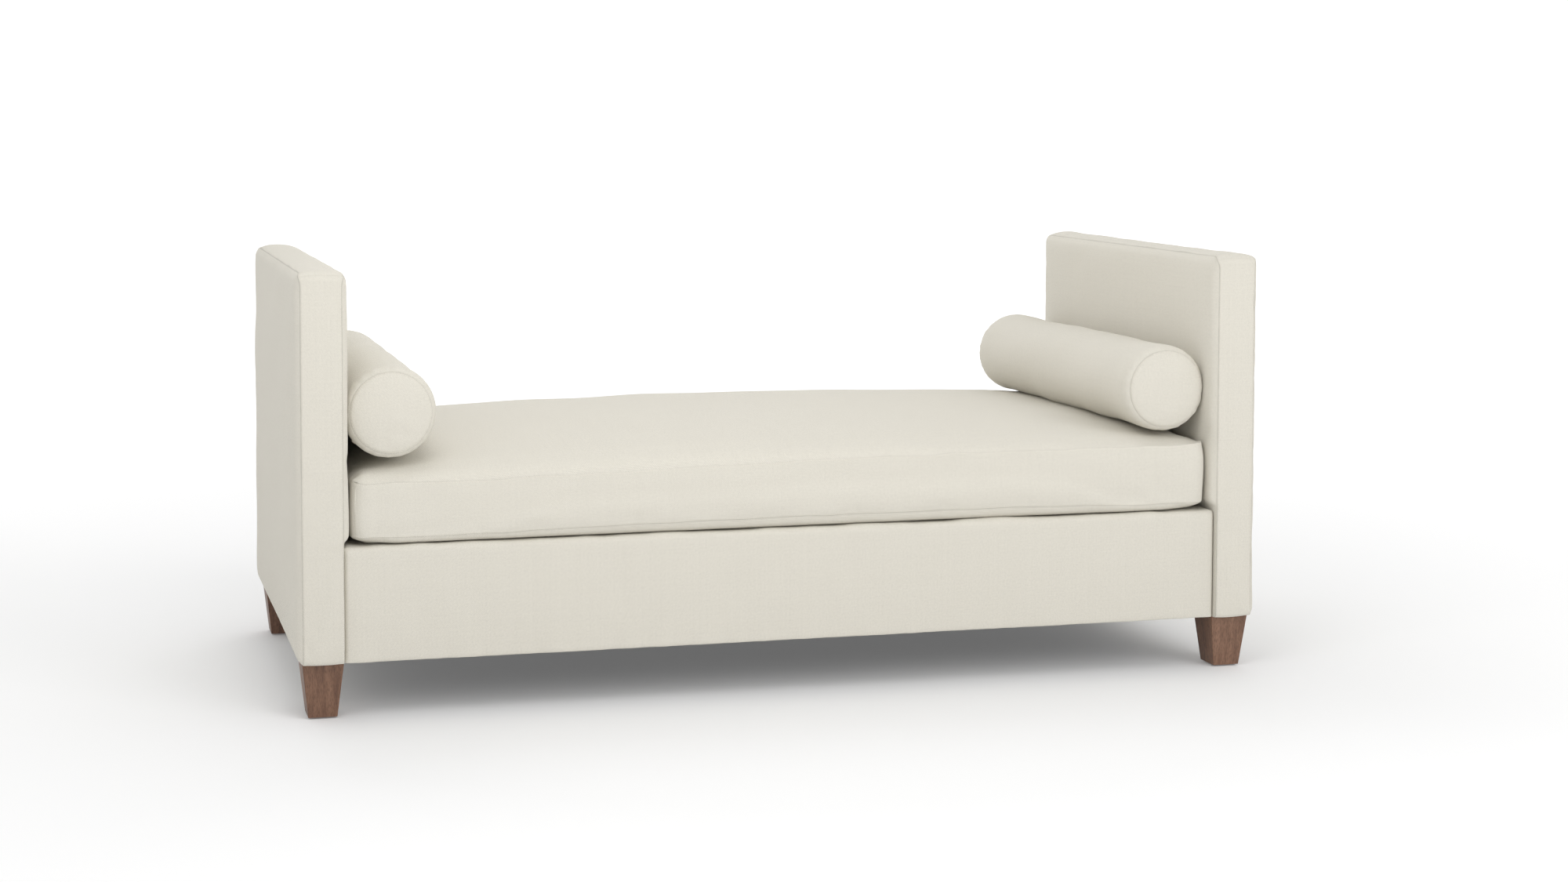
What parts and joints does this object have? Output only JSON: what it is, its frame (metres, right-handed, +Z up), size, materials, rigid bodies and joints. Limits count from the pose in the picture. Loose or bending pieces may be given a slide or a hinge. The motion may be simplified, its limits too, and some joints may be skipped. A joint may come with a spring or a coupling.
{
  "type": "daybed",
  "caption": "Upholstered backless daybed with slab arms, a loose box cushion, round bolsters and tapered wooden legs.",
  "frame": {"origin": "on the floor, under the middle of the daybed", "axes": "+X along the length, -Y to the front, +Z up"},
  "size_m": [2.054, 0.872, 0.886],
  "materials": {
    "cream_fabric": "off-white twill weave",
    "walnut": "satin walnut, upright grain",
    "glide_plastic": "moulded, matt",
    "zinc_steel": "bright zinc plate",
    "frame_timber": "planed, unfinished",
    "hardboard": "smooth board",
    "foam": "open-cell foam",
    "fibre": "soft polyester fibre",
    "deck_fabric": "plain woven cotton",
    "black_cloth": "thin non-woven cloth",
    "zip_tape": "woven tape and nylon coil",
    "zip_metal": "satin nickel plate"
  },
  "bodies": {
    "frame": {"arm_bolt_washers": "zinc_steel", "arm_bolts": "zinc_steel", "arm_tee_nuts": "zinc_steel", "base_corner_blocks": "frame_timber", "base_cross_rails": "frame_timber", "base_front_cover": "cream_fabric", "base_front_padding": "foam", "base_front_rail": "frame_timber", "base_left_end_rail": "frame_timber", "base_rear_cover": "cream_fabric", "base_rear_padding": "foam", "base_rear_rail": "frame_timber", "base_right_end_rail": "frame_timber", "deck_cloth": "deck_fabric", "deck_pad": "fibre", "dust_cover": "black_cloth", "front_left_leg": "walnut", "front_right_leg": "walnut", "left_arm_bottom_rail": "frame_timber", "left_arm_cover": "cream_fabric", "left_arm_front_post": "frame_timber", "left_arm_inner_panel": "hardboard", "left_arm_leg_blocks": "frame_timber", "left_arm_outer_panel": "hardboard", "left_arm_padding": "foam", "left_arm_rear_post": "frame_timber", "left_arm_seat_rail": "frame_timber", "left_arm_top_rail": "frame_timber", "leg_glides": "glide_plastic", "leg_hanger_bolts": "zinc_steel", "leg_threaded_inserts": "zinc_steel", "rear_left_leg": "walnut", "rear_right_leg": "walnut", "right_arm_bottom_rail": "frame_timber", "right_arm_cover": "cream_fabric", "right_arm_front_post": "frame_timber", "right_arm_inner_panel": "hardboard", "right_arm_leg_blocks": "frame_timber", "right_arm_outer_panel": "hardboard", "right_arm_padding": "foam", "right_arm_rear_post": "frame_timber", "right_arm_seat_rail": "frame_timber", "right_arm_top_rail": "frame_timber", "seat_springs": "zinc_steel", "spring_clips": "zinc_steel", "spring_tie_wires": "zinc_steel"},
    "seat_cushion": {"seat_cushion_cover": "cream_fabric", "seat_cushion_wrap": "fibre", "seat_cushion_foam": "foam", "seat_cushion_zip": "zip_tape"},
    "left_bolster": {"left_bolster_cover": "cream_fabric", "left_bolster_fill": "fibre", "left_bolster_zip": "zip_tape"},
    "right_bolster": {"right_bolster_cover": "cream_fabric", "right_bolster_fill": "fibre", "right_bolster_zip": "zip_tape"},
    "seat_zip_slider": {"seat_cushion_zip_slider": "zip_metal"},
    "left_bolster_zip_slider": {"left_bolster_zip_slider": "zip_metal"},
    "right_bolster_zip_slider": {"right_bolster_zip_slider": "zip_metal"}
  },
  "joints": [
    {"name": "seat_cushion_lift", "type": "slide", "parent": "frame", "child": "seat_cushion", "axis": [0, 0, 1], "range_m": [0, 0.6]},
    {"name": "left_bolster_lift", "type": "slide", "parent": "seat_cushion", "child": "left_bolster", "axis": [0, 0, 1], "range_m": [0, 0.42]},
    {"name": "right_bolster_lift", "type": "slide", "parent": "seat_cushion", "child": "right_bolster", "axis": [0, 0, 1], "range_m": [0, 0.42]},
    {"name": "seat_zip_slide", "type": "slide", "parent": "seat_cushion", "child": "seat_zip_slider", "axis": [1, 0, 0], "range_m": [0, 1.48]},
    {"name": "left_bolster_zip_slide", "type": "slide", "parent": "left_bolster", "child": "left_bolster_zip_slider", "axis": [0, 1, 0], "range_m": [0, 0.6]},
    {"name": "right_bolster_zip_slide", "type": "slide", "parent": "right_bolster", "child": "right_bolster_zip_slider", "axis": [0, 1, 0], "range_m": [0, 0.6]}
  ]
}
